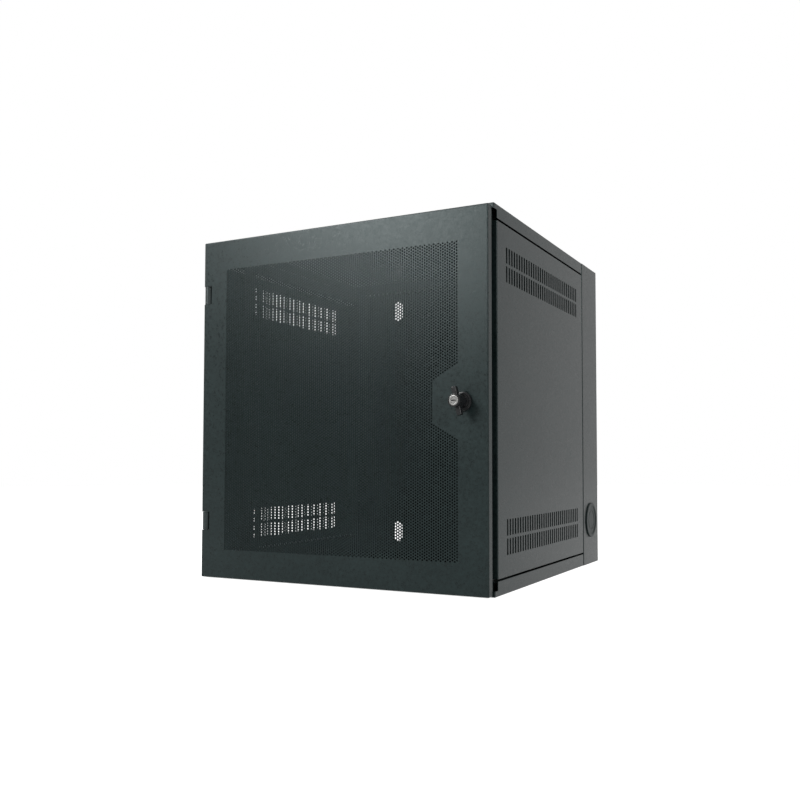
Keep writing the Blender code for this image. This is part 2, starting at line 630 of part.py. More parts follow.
def wing_knob(body):
    """Wing knob, its shaft through the housing, and the cam and nut at the shaft's end."""
    cam_front = POST_FRONT + FRAME_SHEET + CAM_GAP
    cam_back = cam_front + CAM_THICKNESS
    nut_back = cam_back + FIT + CAM_NUT_HEIGHT
    shaft = KNOB_SHAFT / 2
    boss = KNOB_BOSS / 2
    boss_back = LOCK_COLLAR_HEIGHT + FIT
    shaft_end = DOOR_FRONT - nut_back - SHAFT_END
    profile = [(0, KNOB_HEIGHT), (boss - LOCK_CHAMFER, KNOB_HEIGHT), (boss, KNOB_HEIGHT - LOCK_CHAMFER),
               (boss, boss_back), (shaft, boss_back), (shaft, shaft_end), (0, shaft_end)]
    knob = turned("wing_knob", profile, LOCK_AXIS, -Y_AXIS)
    lean = Matrix.Rotation(WING_LEAN, 2)
    outline = []
    for x, z in oval((0, 0), WING_WIDTH, WING_LENGTH):
        leaned = lean @ Vector((x, z))
        outline.append((LOCK_AXIS.x + leaned.x, LOCK_AXIS.z + leaned.y))
    fuse(knob, prism("wings", outline, "y", DOOR_FRONT - WING_FRONT, DOOR_FRONT - WING_BACK))
    cut(knob, rod("bore", LOCK_AXIS, -Y_AXIS, CORE / 2 + FIT, CORE_SEAT - FIT, KNOB_HEIGHT + SHEET))
    finish(knob, body, BLACK_ZINC)

    half = CAM_WIDTH / 2
    x, z = LOCK_AXIS.x, LOCK_AXIS.z
    outline = [(x - half, z - CAM_TAIL), (x + half, z - CAM_TAIL),
               (x + half, z + CAM_LENGTH), (x - half, z + CAM_LENGTH)]
    cam = prism("latch_cam", outline, "y", cam_front, cam_back)
    cut(cam, rod("bore", LOCK_AXIS, Y_AXIS, shaft + FIT, 0, DOOR_DEPTH + CAM_LENGTH))
    finish(cam, body, ZINC)
    nut = prism("cam_nut", hexagon((x, z), CAM_NUT), "y", cam_back + FIT, nut_back)
    cut(nut, rod("bore", LOCK_AXIS, Y_AXIS, shaft + FIT, 0, DOOR_DEPTH + CAM_LENGTH))
    finish(nut, body, ZINC)


def lock_core(body):
    face = KNOB_HEIGHT + CORE_PROUD
    core = rod("lock_core", LOCK_AXIS, -Y_AXIS, CORE / 2, CORE_SEAT, face)
    half_width = KEY_SLOT_WIDTH / 2
    half_height = KEY_SLOT_HEIGHT / 2
    front = DOOR_FRONT - face
    cut(core, block("key_slot", (LOCK_AXIS.x - half_width, front - KEY_SLOT_SINK, LOCK_AXIS.z - half_height),
                    (LOCK_AXIS.x + half_width, front + KEY_SLOT_SINK, LOCK_AXIS.z + half_height)))
    finish(core, body, CHROME)


def swing_latch(cabinet_body, bolt_body):
    """Sliding bolt that reaches behind the wall section's right return."""
    middle = HEIGHT / 2
    case_right = POST_IN - FIT
    case_left = case_right - LATCH_CASE_WIDTH
    tab_back = POST_BACK - FRAME_SHEET - FIT
    tab_front = tab_back - FRAME_SHEET
    bolt_front = WALL_FRONT + FRAME_SHEET + LATCH_CLEAR
    bolt_back = bolt_front + LATCH_BOLT_THICKNESS
    half = LATCH_CASE_HEIGHT / 2
    bolt_half = LATCH_BOLT_HEIGHT / 2
    case = block("swing_latch_case", (case_left, tab_front, middle - half),
                 (case_right, bolt_back + FIT + LATCH_CASE_WALL, middle + half))
    fuse(case, block("tab", (case_right - FRAME_SHEET, tab_front, middle - half),
                     (POST_IN + LATCH_TAB, tab_back, middle + half)))
    cut(case, block("guide", (case_left - FRAME_SHEET, bolt_front - FIT, middle - bolt_half - FIT),
                    (case_right + FRAME_SHEET, bolt_back + FIT, middle + bolt_half + FIT)))
    finish(case, cabinet_body, DARK_COAT)

    bolt_right = HALF_WIDTH - WALL_RETURN - LATCH_REST_GAP
    bolt_left = case_left - LATCH_TRAVEL - LATCH_STOP
    bolt = block("swing_latch_bolt", (bolt_left, bolt_front, middle - bolt_half),
                 (bolt_right, bolt_back, middle + bolt_half))
    pull_half = LATCH_PULL_HEIGHT / 2
    fuse(bolt, block("pull", (bolt_left - LATCH_PULL, bolt_front - LATCH_BOLT_THICKNESS, middle - pull_half),
                     (bolt_left + FIT, bolt_back, middle + pull_half)))
    finish(bolt, bolt_body, ZINC)


def build():
    for item in list(bpy.data.objects):
        bpy.data.objects.remove(item)
    wall = body_empty("wall_section", (0, 0, 0))
    cabinet = body_empty("cabinet", SWING_AXIS, wall)
    door = body_empty("door", DOOR_AXIS, cabinet)
    knob = body_empty("knob", LOCK_AXIS, door)
    core = body_empty("key_core", LOCK_AXIS, knob)
    latch = body_empty("latch_bolt", (POST_IN, WALL_FRONT, HEIGHT / 2), cabinet)
    rail_bodies = {}
    for side, sign in SIDES:
        rail_bodies[side] = body_empty("rail_" + side, (sign * RAIL_OUT, RAIL_FACE, 0), cabinet)
    wall_section(wall)
    swing_hinges(wall, cabinet)
    covers(cabinet)
    posts(cabinet)
    rail_supports(cabinet)
    side_panels(cabinet)
    rails(rail_bodies)
    door_hinges(cabinet, door)
    door_bumpers(cabinet)
    door_panel(door)
    lock_housing(door)
    wing_knob(knob)
    lock_core(core)
    swing_latch(cabinet, latch)


build()
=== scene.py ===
import json
import math

import bmesh
import bpy
from mathutils import Matrix, Vector


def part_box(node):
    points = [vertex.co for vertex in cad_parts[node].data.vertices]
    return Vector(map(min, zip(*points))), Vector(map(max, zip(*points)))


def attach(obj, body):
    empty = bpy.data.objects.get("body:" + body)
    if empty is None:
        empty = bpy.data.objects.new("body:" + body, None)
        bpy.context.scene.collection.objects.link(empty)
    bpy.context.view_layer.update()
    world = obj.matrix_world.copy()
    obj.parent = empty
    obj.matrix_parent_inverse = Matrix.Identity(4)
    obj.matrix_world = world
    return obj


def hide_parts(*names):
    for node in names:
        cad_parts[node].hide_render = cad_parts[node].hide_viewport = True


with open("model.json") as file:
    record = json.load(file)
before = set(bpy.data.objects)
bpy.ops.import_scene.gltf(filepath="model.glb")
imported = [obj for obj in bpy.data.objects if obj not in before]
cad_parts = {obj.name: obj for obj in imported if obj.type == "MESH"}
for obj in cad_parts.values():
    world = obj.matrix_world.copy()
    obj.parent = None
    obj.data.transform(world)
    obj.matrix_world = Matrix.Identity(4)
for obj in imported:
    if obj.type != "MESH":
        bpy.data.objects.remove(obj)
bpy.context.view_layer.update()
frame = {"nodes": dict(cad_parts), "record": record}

nodes = frame["nodes"]
bodies = frame["record"]["behaviour"]["bodies"]
bodyOf = {node: body for body, members in bodies.items() for node in members}
slotOf = {row["node"]: row["material_slot"] for row in frame["record"]["subparts"]}
mm = 0.001
hair = 0.01 * mm             # points closer than this are one point
bendSteps = 4                # facets of a rounded fold
facing = 0.9                 # a normal this far along an axis faces that way
square = 0.999               # the same for a flat face that no bend belongs to


# Selecting, editing and applying, as by hand

def pickOnly(*pieces):
    bpy.ops.object.select_all(action="DESELECT")
    for piece in pieces:
        piece.select_set(True)
    bpy.context.view_layer.objects.active = pieces[0]


def openEdit(piece, kind):
    pickOnly(piece)
    bpy.ops.object.mode_set(mode="EDIT")
    bpy.ops.mesh.select_mode(type=kind)
    bpy.ops.mesh.select_all(action="DESELECT")


def closeEdit():
    bpy.ops.object.mode_set(mode="OBJECT")


def chooseFaces(piece, wanted):
    bm = bmesh.from_edit_mesh(piece.data)
    for face in bm.faces:
        if wanted(face):
            face.select_set(True)
    bmesh.update_edit_mesh(piece.data)


def chooseEdges(piece, wanted):
    bm = bmesh.from_edit_mesh(piece.data)
    for edge in bm.edges:
        if wanted(edge):
            edge.select_set(True)
    bmesh.update_edit_mesh(piece.data)


def applied(piece, kind, **settings):
    pickOnly(piece)
    change = piece.modifiers.new(kind, kind)
    for name, value in settings.items():
        setattr(change, name, value)
    bpy.ops.object.modifier_apply(modifier=change.name)
    return piece


def settle(piece):
    pickOnly(piece)
    bpy.ops.object.transform_apply(location=True, rotation=True, scale=True)
    return piece


def cutAway(piece, tool):
    applied(piece, "BOOLEAN", operation="DIFFERENCE", object=tool)
    bpy.data.objects.remove(tool)
    return piece


def weldOn(piece, other):
    applied(piece, "BOOLEAN", operation="UNION", object=other)
    bpy.data.objects.remove(other)
    return piece


def joined(*pieces):
    pickOnly(*pieces)
    bpy.ops.object.join()
    return pieces[0]


def boxAt(name, low, high):
    low, high = Vector(low), Vector(high)
    bpy.ops.object.select_all(action="DESELECT")
    bpy.ops.mesh.primitive_cube_add(size=1, location=(low + high) / 2)
    piece = bpy.context.object
    piece.name = name
    piece.scale = high - low
    return settle(piece)


def softEdges(piece, width, segments=2, angle=50):
    return applied(piece, "BEVEL", width=width, segments=segments, limit_method="ANGLE",
                   angle_limit=math.radians(angle))


def spun(name, profile, centre, axis, sides=64):
    # profile of (radius, height) pairs, spun round the axis
    mesh = bpy.data.meshes.new(name)
    points = [(radius, 0, height) for radius, height in profile]
    mesh.from_pydata(points, [(step, step + 1) for step in range(len(points) - 1)], [])
    piece = bpy.data.objects.new(name, mesh)
    bpy.context.scene.collection.objects.link(piece)
    openEdit(piece, "VERT")
    bpy.ops.mesh.select_all(action="SELECT")
    bpy.ops.mesh.spin(steps=sides, angle=math.tau, center=(0, 0, 0), axis=(0, 0, 1))
    bpy.ops.mesh.select_all(action="SELECT")
    bpy.ops.mesh.remove_doubles(threshold=hair)
    bpy.ops.mesh.normals_make_consistent(inside=False)
    closeEdit()
    turn = Vector((0, 0, 1)).rotation_difference(Vector(axis)).to_matrix().to_4x4()
    piece.matrix_world = Matrix.Translation(Vector(centre)) @ turn
    return settle(piece)


def copyOfNode(node, name):
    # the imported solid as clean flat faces
    piece = bpy.data.objects.new(name, nodes[node].data.copy())
    bpy.context.scene.collection.objects.link(piece)
    piece.data.materials.clear()
    pickOnly(piece)
    bpy.ops.mesh.customdata_custom_splitnormals_clear()
    openEdit(piece, "VERT")
    bpy.ops.mesh.select_all(action="SELECT")
    bpy.ops.mesh.remove_doubles(threshold=hair)
    bpy.ops.mesh.dissolve_limited(angle_limit=math.radians(1))
    closeEdit()
    return piece


def planeOf(low, high, side, inset):
    # side "x+" is the highest x, "x-" the lowest; inset moves it inwards
    index = "xyz".index(side[0])
    if side[1] == "+":
        return index, high[index] - inset
    return index, low[index] + inset


def onBend(edge, low, high, pair, inset):
    for side in pair:
        index, place = planeOf(low, high, side, inset)
        if any(abs(point.co[index] - place) > 2 * hair for point in edge.verts):
            return False
    return True


def roundBends(piece, node, pairs, sheet, bend):
    # outer and inner edge of each fold
    low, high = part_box(node)
    for inset, radius in ((0, bend), (sheet, bend - sheet)):
        openEdit(piece, "EDGE")
        chooseEdges(piece, lambda edge: any(onBend(edge, low, high, pair, inset) for pair in pairs))
        bpy.ops.mesh.bevel(offset=radius, segments=bendSteps, affect="EDGES")
        closeEdit()
    return piece


def shaded(piece, angle=32):
    pickOnly(piece)
    bpy.ops.object.shade_smooth_by_angle(angle=math.radians(angle))
    applied(piece, "WEIGHTED_NORMAL", keep_sharp=True)
    return piece


def standsFor(piece, node, material):
    # finished piece takes the node's place, body and slot
    shaded(piece)
    piece.data.materials.clear()
    piece.data.materials.append(material)
    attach(piece, bodyOf[node])
    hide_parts(node)
    return piece


def addedTo(piece, body, material):
    shaded(piece)
    piece.data.materials.clear()
    piece.data.materials.append(material)
    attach(piece, body)
    return piece


# Node groups for the finishes

def newGroup(name, inputs, outputs):
    group = bpy.data.node_groups.new(name, "ShaderNodeTree")
    for label, kind, value in inputs:
        socket = group.interface.new_socket(label, in_out="INPUT", socket_type=kind)
        socket.default_value = value
    for label, kind in outputs:
        group.interface.new_socket(label, in_out="OUTPUT", socket_type=kind)
    return group, group.nodes.new("NodeGroupInput"), group.nodes.new("NodeGroupOutput")


def mathNode(tree, operation, first, second):
    node = tree.nodes.new("ShaderNodeMath")
    node.operation = operation
    for index, value in enumerate((first, second)):
        if isinstance(value, (int, float)):
            node.inputs[index].default_value = value
        else:
            tree.links.new(value, node.inputs[index])
    return node.outputs[0]


def noiseNode(tree, vector, scale, detail, roughness):
    node = tree.nodes.new("ShaderNodeTexNoise")
    tree.links.new(vector, node.inputs["Vector"])
    if isinstance(scale, (int, float)):
        node.inputs["Scale"].default_value = scale
    else:
        tree.links.new(scale, node.inputs["Scale"])
    node.inputs["Detail"].default_value = detail
    node.inputs["Roughness"].default_value = roughness
    return node.outputs["Fac"]


def ramped(tree, value, low, high):
    node = tree.nodes.new("ShaderNodeMapRange")
    tree.links.new(value, node.inputs["Value"])
    node.inputs["From Min"].default_value = low
    node.inputs["From Max"].default_value = high
    return node.outputs["Result"]


grainPlan = dict(coarser=3.5, fineShare=0.6, coarseShare=0.4, mottle=(0.36, 0.64), cloudScale=9.0,
                 clouds=(0.3, 0.7),                            # noise is given as detail and roughness
                 fineNoise=(2.0, 0.6), coarseNoise=(2.0, 0.5), cloudNoise=(3.0, 0.55))


def makeCoatGrain():
    # sandy grain of a baked powder, with slow clouds under it
    plan = grainPlan
    group, given, result = newGroup(
        "coatGrain", [("Grain Size", "NodeSocketFloat", 0.0012)],
        [("Height", "NodeSocketFloat"), ("Mottle", "NodeSocketFloat"), ("Clouds", "NodeSocketFloat")])
    place = group.nodes.new("ShaderNodeTexCoord").outputs["Object"]
    scale = mathNode(group, "DIVIDE", 1.0, given.outputs["Grain Size"])
    fine = noiseNode(group, place, scale, *plan["fineNoise"])
    coarse = noiseNode(group, place, mathNode(group, "DIVIDE", scale, plan["coarser"]), *plan["coarseNoise"])
    clouds = noiseNode(group, place, plan["cloudScale"], *plan["cloudNoise"])
    fineShare = mathNode(group, "MULTIPLY", fine, plan["fineShare"])
    coarseShare = mathNode(group, "MULTIPLY", coarse, plan["coarseShare"])
    height = mathNode(group, "ADD", fineShare, coarseShare)
    mottle = ramped(group, height, *plan["mottle"])
    group.links.new(height, result.inputs["Height"])
    group.links.new(mottle, result.inputs["Mottle"])
    group.links.new(ramped(group, clouds, *plan["clouds"]), result.inputs["Clouds"])
    return group


dustPlan = dict(patchScale=40.0, patchNoise=(4.0, 0.6), patches=(0.35, 0.75), upward=(0.3, 1.0))


def makeDustVeil():
    # dust on what faces up, thicker in patches
    plan = dustPlan
    group, given, result = newGroup(
        "dustVeil", [("Amount", "NodeSocketFloat", 0.3)], [("Mask", "NodeSocketFloat")])
    normal = group.nodes.new("ShaderNodeNewGeometry").outputs["Normal"]
    split = group.nodes.new("ShaderNodeSeparateXYZ")
    group.links.new(normal, split.inputs[0])
    place = group.nodes.new("ShaderNodeTexCoord").outputs["Object"]
    noise = noiseNode(group, place, plan["patchScale"], *plan["patchNoise"])
    patches = ramped(group, noise, *plan["patches"])
    up = ramped(group, split.outputs["Z"], *plan["upward"])
    mask = mathNode(group, "MULTIPLY", mathNode(group, "MULTIPLY", up, patches), given.outputs["Amount"])
    group.links.new(mask, result.inputs["Mask"])
    return group


streakPlan = dict(streakNoise=(3.0, 0.6), streaks=(0.3, 0.7), stainScale=60.0, stainNoise=(4.0, 0.6),
                  stain=(0.35, 0.7))


def makeBrushed():
    # fine streaks along one axis
    plan = streakPlan
    group, given, result = newGroup(
        "brushedStreaks",
        [("Along", "NodeSocketVector", (1.0, 1.0, 0.03)), ("Scale", "NodeSocketFloat", 900.0)],
        [("Streaks", "NodeSocketFloat"), ("Stain", "NodeSocketFloat")])
    place = group.nodes.new("ShaderNodeTexCoord").outputs["Object"]
    stretch = group.nodes.new("ShaderNodeVectorMath")
    stretch.operation = "MULTIPLY"
    group.links.new(place, stretch.inputs[0])
    group.links.new(given.outputs["Along"], stretch.inputs[1])
    streaks = noiseNode(group, stretch.outputs[0], given.outputs["Scale"], *plan["streakNoise"])
    stain = noiseNode(group, place, plan["stainScale"], *plan["stainNoise"])
    group.links.new(ramped(group, streaks, *plan["streaks"]), result.inputs["Streaks"])
    group.links.new(ramped(group, stain, *plan["stain"]), result.inputs["Stain"])
    return group


coatGrain = makeCoatGrain()
dustVeil = makeDustVeil()
brushedStreaks = makeBrushed()
print("node groups made")


# Finishes

def newMaterial(name):
    material = bpy.data.materials.new(name)
    material.use_nodes = True
    return material, material.node_tree, material.node_tree.nodes["Principled BSDF"]


def placed(tree, group, **values):
    node = tree.nodes.new("ShaderNodeGroup")
    node.node_tree = group
    for label, value in values.items():
        node.inputs[label.replace("_", " ")].default_value = value
    return node


def tinted(tree, mask, dark, light):
    node = tree.nodes.new("ShaderNodeMix")
    node.data_type = "RGBA"
    tree.links.new(mask, node.inputs["Factor"])
    for socket, colour in (("A", dark), ("B", light)):
        target = [item for item in node.inputs if item.name == socket and item.type == "RGBA"][0]
        if isinstance(colour, tuple):
            target.default_value = (*colour, 1)
        else:
            tree.links.new(colour, target)
    return [item for item in node.outputs if item.type == "RGBA"][0]


def between(tree, mask, low, high):
    node = tree.nodes.new("ShaderNodeMapRange")
    tree.links.new(mask, node.inputs["Value"])
    node.inputs["To Min"].default_value = low
    node.inputs["To Max"].default_value = high
    return node.outputs["Result"]


def bumped(tree, shader, height, distance, strength):
    node = tree.nodes.new("ShaderNodeBump")
    node.inputs["Strength"].default_value = strength
    node.inputs["Distance"].default_value = distance
    tree.links.new(height, node.inputs["Height"])
    tree.links.new(node.outputs["Normal"], shader.inputs["Normal"])


def powderCoat(name, look):
    material, tree, shader = newMaterial(name)
    grain = placed(tree, coatGrain, Grain_Size=look["grainSize"])
    dust = placed(tree, dustVeil, Amount=look["dust"])
    clouded = tinted(tree, grain.outputs["Clouds"], look["dark"], look["light"])
    speckle = tinted(tree, grain.outputs["Mottle"], look["pit"], look["peak"])
    blend = tree.nodes.new("ShaderNodeMix")
    blend.data_type = "RGBA"
    blend.blend_type = "MULTIPLY"
    blend.inputs["Factor"].default_value = 1.0
    sockets = [item for item in blend.inputs if item.type == "RGBA"]
    tree.links.new(clouded, sockets[0])
    tree.links.new(speckle, sockets[1])
    coloured = [item for item in blend.outputs if item.type == "RGBA"][0]
    dusted = tinted(tree, dust.outputs["Mask"], coloured, look["dustColour"])
    tree.links.new(dusted, shader.inputs["Base Color"])
    roughness = between(tree, grain.outputs["Mottle"], *look["roughness"])
    tree.links.new(roughness, shader.inputs["Roughness"])
    shader.inputs["Specular IOR Level"].default_value = look["shine"]
    shader.inputs["Specular Tint"].default_value = (*look["sheen"], 1)
    bumped(tree, shader, grain.outputs["Height"], look["bump"], look["bumpStrength"])
    return material


cabinetLook = dict(dark=(0.0048, 0.0090, 0.0090), light=(0.0072, 0.0122, 0.0122), pit=(0.55, 0.55, 0.55),
                   peak=(1.25, 1.25, 1.25), grainSize=1.6 * mm, roughness=(0.26, 0.37), shine=0.15,
                   sheen=(0.88, 1.0, 1.0), bump=0.3 * mm, bumpStrength=0.55, dust=0.1,
                   dustColour=(0.09, 0.095, 0.09))
hingeLook = dict(cabinetLook, dark=(0.018, 0.023, 0.023), light=(0.024, 0.029, 0.029), grainSize=0.9 * mm)
frameLook = dict(cabinetLook, dark=(0.0035, 0.0055, 0.0055), light=(0.0055, 0.0080, 0.0080))
plugLook = dict(cabinetLook, grainSize=0.6 * mm, roughness=(0.4, 0.5), bump=0.12 * mm)
rubberLook = dict(cabinetLook, dark=(0.010, 0.010, 0.010), light=(0.014, 0.014, 0.014), grainSize=0.5 * mm,
                  roughness=(0.7, 0.85), shine=0.25, bump=0.1 * mm)


def platedSteel(name, look):
    material, tree, shader = newMaterial(name)
    streaks = placed(tree, brushedStreaks, Along=look["along"], Scale=look["scale"])
    colour = tinted(tree, streaks.outputs["Stain"], look["dark"], look["light"])
    tree.links.new(colour, shader.inputs["Base Color"])
    shader.inputs["Metallic"].default_value = look["metallic"]
    shader.inputs["Specular IOR Level"].default_value = look["shine"]
    roughness = between(tree, streaks.outputs["Streaks"], *look["roughness"])
    tree.links.new(roughness, shader.inputs["Roughness"])
    bumped(tree, shader, streaks.outputs["Streaks"], look["bump"], look["bumpStrength"])
    return material


railLook = dict(dark=(0.022, 0.023, 0.024), light=(0.030, 0.031, 0.031), along=(1.0, 1.0, 0.05),
                scale=700.0, metallic=0.55, shine=0.3, roughness=(0.38, 0.52), bump=0.05 * mm,
                bumpStrength=0.2)
zincLook = dict(dark=(0.42, 0.43, 0.43), light=(0.58, 0.59, 0.58), along=(1.0, 0.3, 1.0),
                scale=500.0, metallic=1.0, shine=0.5, roughness=(0.28, 0.42), bump=0.05 * mm,
                bumpStrength=0.2)
lockLook = dict(dark=(0.006, 0.0065, 0.007), light=(0.009, 0.0095, 0.010), along=(1.0, 1.0, 1.0),
                scale=1200.0, metallic=0.0, shine=0.16, roughness=(0.22, 0.32), bump=0.03 * mm,
                bumpStrength=0.2)
nickelLook = dict(dark=(0.11, 0.11, 0.107), light=(0.15, 0.15, 0.145), along=(1.0, 0.05, 1.0),
                  scale=1500.0, metallic=1.0, shine=0.5, roughness=(0.26, 0.36), bump=0.02 * mm,
                  bumpStrength=0.2)

cabinetCoat = powderCoat("cabinetCoat", cabinetLook)
hingeCoat = powderCoat("hingeCoat", hingeLook)
frameCoat = powderCoat("frameCoat", frameLook)
plugPlastic = powderCoat("plugPlastic", plugLook)
bumperRubber = powderCoat("bumperRubber", rubberLook)
railFinish = platedSteel("railFinish", railLook)
zincPlate = platedSteel("zincPlate", zincLook)
lockBlack = platedSteel("lockBlack", lockLook)
lockNickel = platedSteel("lockNickel", nickelLook)
slotFinish = dict(cabinet_coat=cabinetCoat, hinge_coat=hingeCoat, frame_coat=frameCoat,
                  rail_finish=railFinish, zinc_plate=zincPlate, lock_black=lockBlack,
                  lock_chrome=lockNickel, plug_plastic=plugPlastic, bumper_rubber=bumperRubber)
print("finishes made:", len(slotFinish))


# Door: one folded sheet with a punched field

doorPlan = dict(sheet=1.5 * mm, bend=1.8 * mm, returnWidth=18 * mm, flatStrip=1.5 * mm,
                pitch=5.0 * mm, holeAcross=3.05 * mm,          # holes measured across their flats
                sideMargin=57 * mm, topMargin=60 * mm, bottomMargin=53 * mm,
                lockPadReach=104 * mm, lockPadEnd=56 * mm,     # unpunched pad, from the right edge
                lockPadHalf=36 * mm, lockPadSlope=29 * mm, lockHole=9.8 * mm, lockHoleSides=40,
                notchDeep=18.5 * mm, notchMargin=0.6 * mm, topDrop=4 * mm, bands=3,
                foldAngle=1.0, tileEdge=0.9)                   # tests for a folded and an outer tile edge


def lockAxis():
    low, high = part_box("lock_core")
    return Vector(((low.x + high.x) / 2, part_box("door_panel")[0].y, (low.z + high.z) / 2))


def doorField(low):
    # lower left hole and the number of columns and rows between the margins
    plan = doorPlan
    cabinetLow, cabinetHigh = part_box("top_cover")
    left = cabinetLow.x + plan["sideMargin"]
    right = cabinetHigh.x - plan["sideMargin"]
    bottom = plan["bottomMargin"]
    top = cabinetHigh.z - plan["topMargin"]
    columnStep = plan["pitch"] * math.sqrt(3) / 2
    pairs = round((right - left) / columnStep / 2)
    rows = int((top - bottom) / plan["pitch"] - 0.5)
    spanX = (2 * pairs - 1) * columnStep
    spanZ = (rows - 0.5) * plan["pitch"]
    first = Vector(((left + right - spanX) / 2, low.y, (bottom + top - spanZ) / 2))
    return first, columnStep, pairs, rows


def inLockPad(x, z, edge, lockHeight):
    # pad outline: straight beside the lock, then slanting back to the border
    plan = doorPlan
    fromEdge = edge - x
    past = abs(z - lockHeight) - plan["lockPadHalf"]
    if fromEdge > plan["lockPadReach"] or past > plan["lockPadSlope"]:
        return False
    if past <= 0:
        return True
    reach = plan["lockPadReach"] - (plan["lockPadReach"] - plan["lockPadEnd"]) * past / plan["lockPadSlope"]
    return fromEdge < reach


def punchedField(low):
    plan = doorPlan
    first, columnStep, pairs, rows = doorField(low)
    tileRadius = plan["pitch"] / math.sqrt(3)
    bpy.ops.object.select_all(action="DESELECT")
    bpy.ops.mesh.primitive_circle_add(vertices=6, radius=tileRadius, fill_type="NGON", location=first,
                                      rotation=(math.pi / 2, math.pi / 6, 0))
    field = settle(bpy.context.object)
    field.name = "doorField"
    openEdit(field, "FACE")
    bpy.ops.mesh.select_all(action="SELECT")
    bpy.ops.mesh.inset(thickness=(plan["pitch"] - plan["holeAcross"]) / 2)
    bpy.ops.mesh.delete(type="FACE")
    closeEdit()
    half = plan["pitch"] / 2
    applied(field, "ARRAY", count=2, use_relative_offset=False, use_constant_offset=True,
            constant_offset_displace=(columnStep, 0, half), use_merge_vertices=False)
    applied(field, "ARRAY", count=rows, use_relative_offset=False, use_constant_offset=True,
            constant_offset_displace=(0, 0, plan["pitch"]), use_merge_vertices=False)
    applied(field, "ARRAY", count=pairs, use_relative_offset=False, use_constant_offset=True,
            constant_offset_displace=(2 * columnStep, 0, 0), use_merge_vertices=False)
    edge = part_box("top_cover")[1].x
    lockHeight = lockAxis().z

    def tileInPad(face):
        # each face lies in one tile: find that tile's middle
        middle = face.calc_center_median()
        column = round((middle.x - first.x) / columnStep)
        shift = half if column % 2 else 0
        row = round((middle.z - first.z - shift) / plan["pitch"])
        x = first.x + column * columnStep
        z = first.z + shift + row * plan["pitch"]
        return inLockPad(x, z, edge, lockHeight)

    openEdit(field, "FACE")
    chooseFaces(field, tileInPad)
    bpy.ops.mesh.delete(type="FACE")
    bpy.ops.mesh.select_all(action="SELECT")
    bpy.ops.mesh.remove_doubles(threshold=2 * hair)
    closeEdit()
    print("door field:", 2 * pairs, "columns of", rows, "holes")
    return field


def doorTray(low, high):
    plan = doorPlan
    piece = boxAt("doorFrame", low, high)
    openEdit(piece, "FACE")
    chooseFaces(piece, lambda face: face.normal.y > facing)
    bpy.ops.mesh.inset(thickness=plan["returnWidth"])
    bpy.ops.mesh.delete(type="FACE")
    bpy.ops.mesh.select_mode(type="EDGE")
    chooseEdges(piece, lambda edge: len(edge.link_faces) == 2 and edge.calc_face_angle() > plan["foldAngle"])
    bpy.ops.mesh.bevel(offset=plan["bend"], segments=bendSteps, affect="EDGES")
    bpy.ops.mesh.select_mode(type="FACE")
    bpy.ops.mesh.select_all(action="DESELECT")
    chooseFaces(piece, lambda face: face.normal.y < -square)
    bpy.ops.mesh.inset(thickness=plan["flatStrip"])
    bpy.ops.mesh.delete(type="FACE")
    closeEdit()
    return piece


def lockHole(low):
    plan = doorPlan
    housingLow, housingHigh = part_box("lock_housing")
    middle = (housingLow + housingHigh) / 2
    bpy.ops.object.select_all(action="DESELECT")
    bpy.ops.mesh.primitive_circle_add(vertices=plan["lockHoleSides"], radius=plan["lockHole"],
                                      fill_type="NOTHING", location=(middle.x, low.y, middle.z),
                                      rotation=(math.pi / 2, 0, 0))
    return settle(bpy.context.object)


def makeDoor():
    plan = doorPlan
    low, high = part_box("door_panel")
    high = high - Vector((0, 0, plan["topDrop"]))
    sheet = joined(doorTray(low, high), punchedField(low), lockHole(low))
    tileSide = plan["pitch"] / math.sqrt(3)

    def openOnFront(edge):
        onFront = all(abs(point.co.y - low.y) < hair for point in edge.verts)
        longEnough = edge.calc_length() > plan["tileEdge"] * tileSide
        return onFront and (not edge.link_faces or (len(edge.link_faces) == 1 and longEnough))

    openEdit(sheet, "EDGE")
    chooseEdges(sheet, openOnFront)
    bpy.ops.mesh.fill(use_beauty=True)
    bpy.ops.mesh.select_mode(type="FACE")
    bpy.ops.mesh.select_all(action="DESELECT")
    chooseFaces(sheet, lambda face: face.normal.y > square
                and abs(face.calc_center_median().y - low.y) < hair)
    bpy.ops.mesh.flip_normals()
    closeEdit()
    cutHingeNotches(sheet, low)
    applied(sheet, "SOLIDIFY", thickness=plan["sheet"], offset=-1, use_even_offset=True)
    return sheet


def cutHingeNotches(sheet, low):
    plan = doorPlan
    notchEdge = low.x + plan["notchDeep"]
    for end in ("upper", "lower"):
        blockLow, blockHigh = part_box("door_hinge_block_" + end)
        bottom = blockLow.z - plan["notchMargin"]
        top = blockHigh.z + plan["notchMargin"]
        for place, normal in ((Vector((0, 0, bottom)), (0, 0, 1)), (Vector((0, 0, top)), (0, 0, 1)),
                              (Vector((notchEdge, 0, 0)), (1, 0, 0))):
            openEdit(sheet, "FACE")
            chooseFaces(sheet, lambda face: min(point.co.x for point in face.verts) < notchEdge
                        and min(point.co.z for point in face.verts) < top + hair
                        and max(point.co.z for point in face.verts) > bottom - hair)
            bpy.ops.mesh.bisect(plane_co=place, plane_no=normal, use_fill=False)
            closeEdit()
        openEdit(sheet, "FACE")
        chooseFaces(sheet, lambda face: face.calc_center_median().x < notchEdge
                    and bottom < face.calc_center_median().z < top)
        bpy.ops.mesh.delete(type="FACE")
        closeEdit()


